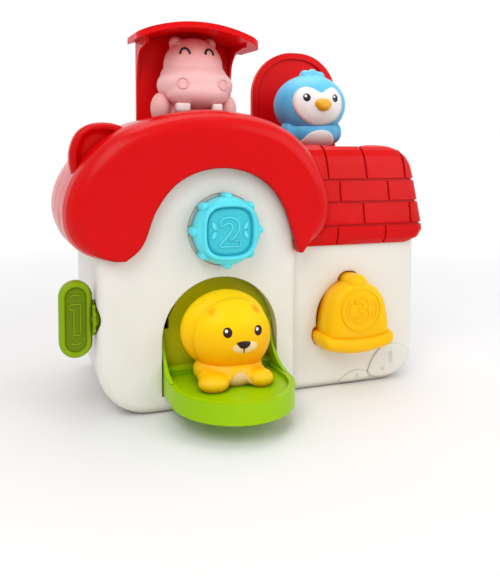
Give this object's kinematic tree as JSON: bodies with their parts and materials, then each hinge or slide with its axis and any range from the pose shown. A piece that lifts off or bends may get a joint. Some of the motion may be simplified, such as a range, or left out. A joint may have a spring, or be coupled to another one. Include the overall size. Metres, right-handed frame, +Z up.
{
  "type": "pop up animal toy",
  "caption": "Toddler's toy house: a key, a knob and a bell release a lion door, a hippo hatch and a penguin lid, each with a spring, and each is pushed shut by hand.",
  "frame": {"origin": "on the ground under the middle of the house body", "axes": "+X to the right along the front, +Y to the back, +Z up"},
  "size_m": [0.257, 0.1772, 0.2526],
  "materials": {
    "roof_red": "glossy moulded red",
    "shell_white": "satin moulded warm white",
    "inner_plastic": "matte moulded grey",
    "steel": "drawn steel wire and rod",
    "hippo_pink": "satin moulded pink",
    "tooth_white": "painted white",
    "penguin_blue": "satin moulded blue",
    "beak_orange": "painted orange",
    "tray_green": "glossy moulded green",
    "lion_yellow": "satin moulded yellow",
    "muzzle_cream": "painted cream",
    "knob_blue": "glossy moulded cyan",
    "bell_yellow": "glossy moulded warm yellow"
  },
  "bodies": {
    "house": {"arch_roof_front": "roof_red", "arch_roof_rear": "roof_red", "roof_ear": "roof_red", "brick_roof": "roof_red", "penguin_well": "inner_plastic", "front_shell": "shell_white", "rear_shell": "shell_white", "case_screws": "steel", "base_plate": "shell_white", "partition": "inner_plastic", "lift_rod_left": "steel", "lift_rod_right": "steel", "rod_bracket_lower": "inner_plastic", "rod_bracket_upper": "inner_plastic", "lift_spring_left": "steel", "lift_spring_right": "steel", "lid_hinge_pin": "steel", "lid_spring": "steel", "door_hinge_pin": "steel", "door_spring": "steel", "door_lugs": "shell_white", "knob_bush": "inner_plastic", "knob_spring": "steel", "hatch_latch_guide": "shell_white", "key_bush": "inner_plastic", "key_spring": "steel", "door_latch_guide": "shell_white", "bell_guide": "inner_plastic"},
    "hippo_lift": {"hatch_panel": "roof_red", "hatch_back": "roof_red", "lift_floor": "roof_red", "lift_slider": "inner_plastic", "hippo_body": "hippo_pink", "hippo_head": "hippo_pink", "hippo_teeth": "tooth_white"},
    "penguin_lid": {"lid_panel": "roof_red", "lid_floor": "roof_red", "penguin_body": "penguin_blue", "penguin_head": "penguin_blue", "penguin_beak": "beak_orange"},
    "lion_door": {"door_tray": "tray_green", "door_back": "tray_green", "lion_body": "lion_yellow", "lion_head": "lion_yellow", "lion_muzzle": "muzzle_cream"},
    "knob": {"knob_cap": "knob_blue", "knob_shaft": "inner_plastic", "knob_crank": "inner_plastic"},
    "key": {"key_paddle": "tray_green", "key_shaft": "inner_plastic", "key_crank": "inner_plastic"},
    "bell": {"bell_button": "bell_yellow", "bell_flange": "bell_yellow", "bell_stem": "inner_plastic", "bell_arm": "inner_plastic", "bell_spring": "steel"},
    "hatch_latch_body": {"hatch_latch": "inner_plastic"},
    "door_latch_body": {"door_latch": "inner_plastic"}
  },
  "joints": [
    {"name": "lift_slide", "type": "slide", "parent": "house", "child": "hippo_lift", "axis": [0, 0, 1], "range_m": [-0.0597, 0], "stiffness_N_per_m": 90, "springref_m": 0.035, "deforming": ["lift_spring_left", "lift_spring_right"]},
    {"name": "lid_hinge", "type": "hinge", "parent": "house", "child": "penguin_lid", "pos_m": [0.063, 0.045, 0.1655], "axis": [1, 0, 0], "range_deg": [0, 90], "stiffness_Nm_per_rad": 0.05, "springref_deg": -91.67},
    {"name": "door_hinge", "type": "hinge", "parent": "house", "child": "lion_door", "pos_m": [-0.0368, -0.0492, 0.0188], "axis": [-1, 0, 0], "range_deg": [0, 90], "stiffness_Nm_per_rad": 0.03, "springref_deg": -57.3},
    {"name": "knob_turn", "type": "hinge", "parent": "house", "child": "knob", "pos_m": [-0.036, -0.06, 0.1148], "axis": [0, 1, 0], "range_deg": [-45, 45], "stiffness_Nm_per_rad": 0.02},
    {"name": "key_turn", "type": "hinge", "parent": "house", "child": "key", "pos_m": [-0.115, -0.044, 0.0618], "axis": [1, 0, 0], "range_deg": [-45, 45], "stiffness_Nm_per_rad": 0.02},
    {"name": "bell_push", "type": "slide", "parent": "house", "child": "bell", "axis": [0, 1, 0], "range_m": [0, 0.005], "stiffness_N_per_m": 400, "springref_m": -0.002},
    {"name": "hatch_latch_slide", "type": "slide", "parent": "house", "child": "hatch_latch_body", "axis": [1, 0, 0], "range_m": [-0.0064, 0.0064]},
    {"name": "door_latch_slide", "type": "slide", "parent": "house", "child": "door_latch_body", "axis": [0, -1, 0], "range_m": [-0.0064, 0.0064]}
  ],
  "couplings": [
    {"joint": "hatch_latch_slide", "follows": "knob_turn", "m_per_rad": 0.0081},
    {"joint": "door_latch_slide", "follows": "key_turn", "m_per_rad": 0.0081}
  ]
}
